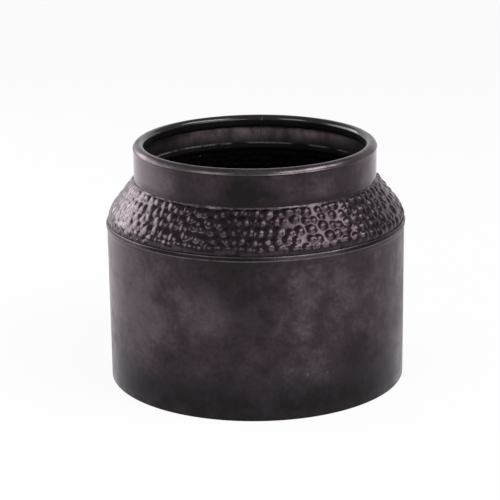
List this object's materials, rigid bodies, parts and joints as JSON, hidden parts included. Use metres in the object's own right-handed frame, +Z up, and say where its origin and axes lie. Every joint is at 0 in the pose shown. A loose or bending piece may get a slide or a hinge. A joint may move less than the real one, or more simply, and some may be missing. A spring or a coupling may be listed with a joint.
{
  "type": "plant pot",
  "caption": "Round sheet-metal plant pot with a straight body, a hammered sloping shoulder and a smooth neck that ends in a rolled rim.",
  "frame": {"origin": "middle of the foot, on the surface that the pot stands on", "axes": "+Z up along the pot's axis, -Y towards the viewer of the picture, seams at the back"},
  "size_m": [0.2218, 0.2218, 0.1771],
  "materials": {
    "patina_body": "satin dark bronze patina, cloudy",
    "patina_hammered": "satin dark bronze patina on hammered sheet",
    "patina_neck": "satin dark bronze patina, worn pale on the rim",
    "patina_seam": "satin dark bronze patina over dressed solder and weld",
    "patina_inside": "dull black lacquer",
    "steel_wire": "plain drawn wire"
  },
  "bodies": {
    "root": {"base_pan": "patina_inside", "body_wall": "patina_body", "body_seam_weld": "patina_seam", "shoulder_band": "patina_hammered", "shoulder_seam_weld": "patina_seam", "neck_band": "patina_neck", "neck_seam_weld": "patina_seam", "neck_solder_fillet": "patina_seam", "rim_wire": "steel_wire"}
  },
  "joints": []
}
